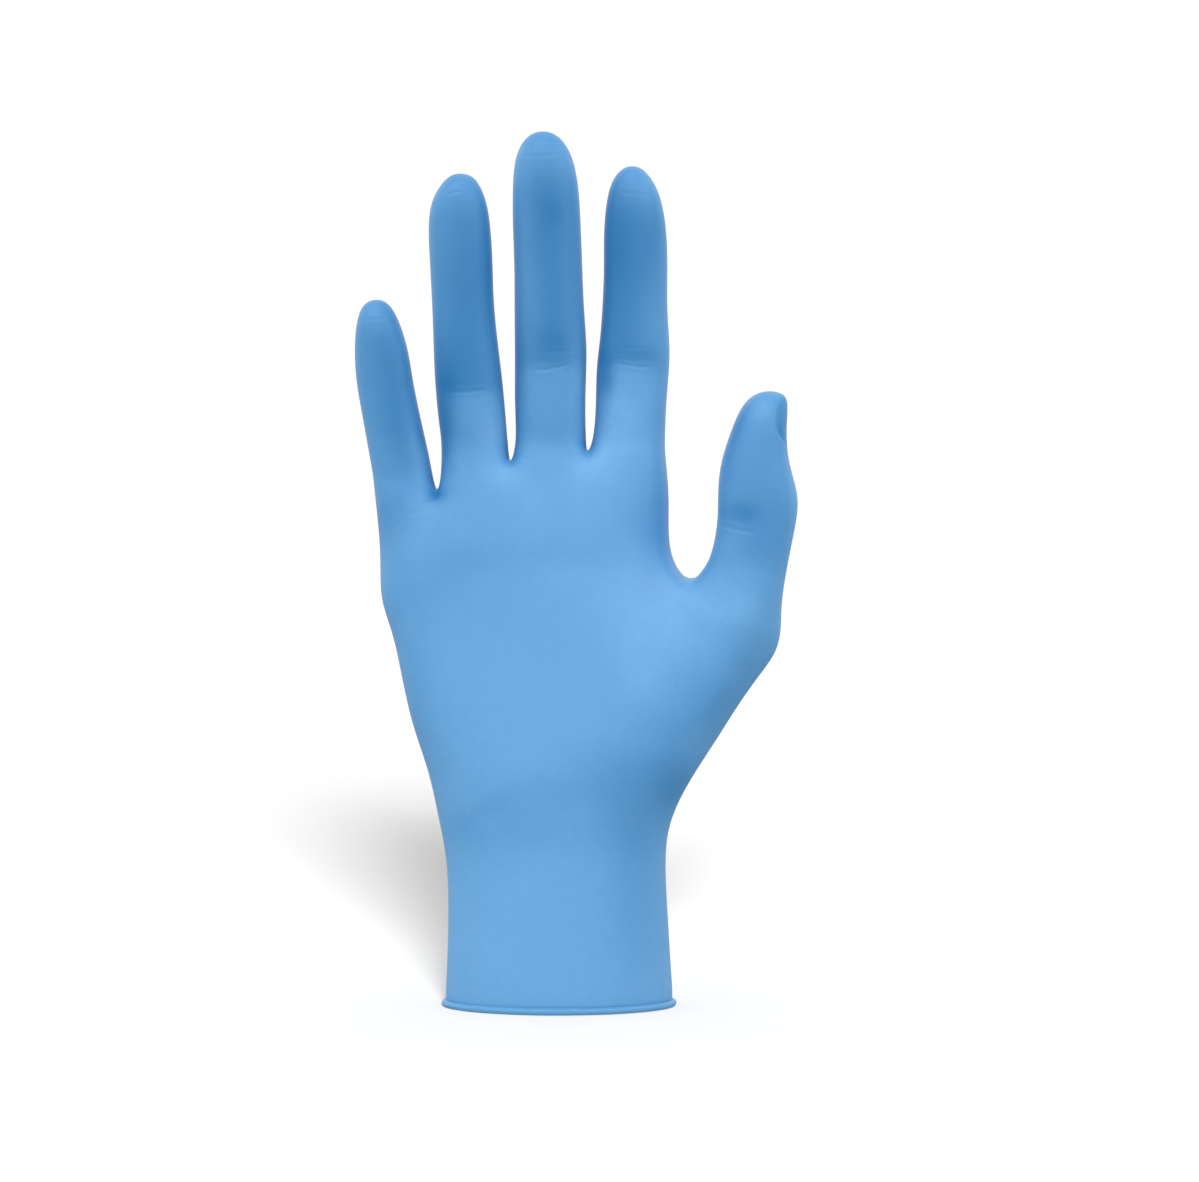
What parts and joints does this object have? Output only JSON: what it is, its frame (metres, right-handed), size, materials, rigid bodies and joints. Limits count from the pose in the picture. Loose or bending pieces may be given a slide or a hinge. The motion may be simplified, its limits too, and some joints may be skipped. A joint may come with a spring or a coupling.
{
  "type": "nitrile exam glove",
  "caption": "Thin disposable glove in the form that it has when worn on an open hand, hollow to the fingertips, with curled finger stalls, a thumb stall set forward and a rolled bead round the cuff.",
  "frame": {"origin": "middle of the cuff's opening, at the height of the rolled bead's centre line, which is where the wrist comes out", "axes": "+Z from the cuff to the fingertips, +X towards the thumb, and the palm faces -Y"},
  "size_m": [0.121, 0.0463, 0.2381],
  "materials": {
    "nitrile": "satin light-blue dipped nitrile film"
  },
  "bodies": {
    "root": {"glove": "nitrile"}
  },
  "joints": []
}
